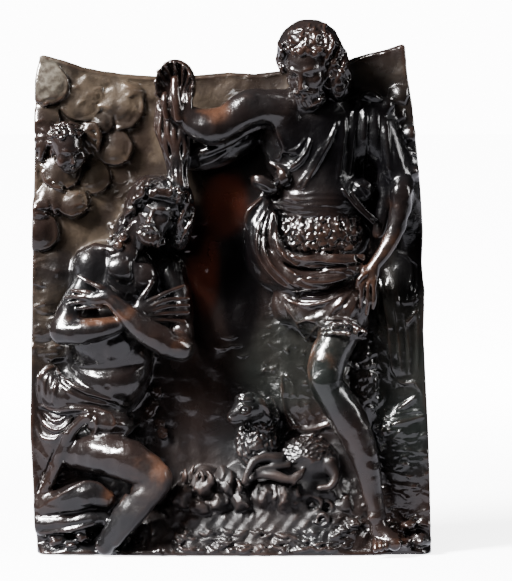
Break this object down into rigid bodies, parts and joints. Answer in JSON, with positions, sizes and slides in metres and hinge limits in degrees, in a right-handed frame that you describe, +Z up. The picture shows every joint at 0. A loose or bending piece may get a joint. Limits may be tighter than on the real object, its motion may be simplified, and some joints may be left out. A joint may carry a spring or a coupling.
{
  "type": "relief plaque",
  "caption": "Cast bronze wall plaque, hollow in plan, with two high-relief figures, clouds, a lamb and plants, hung by a flat pad on its back.",
  "frame": {"origin": "centre of the flat fixing pad on the back of the plate", "axes": "+Z up the plaque, +Y out of its back towards the wall, +X to the viewer's right; the relief faces -Y"},
  "size_m": [0.1991, 0.0485, 0.268],
  "materials": {
    "bronze": "dark brown lacquered patina over bronze, worn warmer on the high points"
  },
  "bodies": {
    "root": {"relief_plaque": "bronze"}
  },
  "joints": []
}
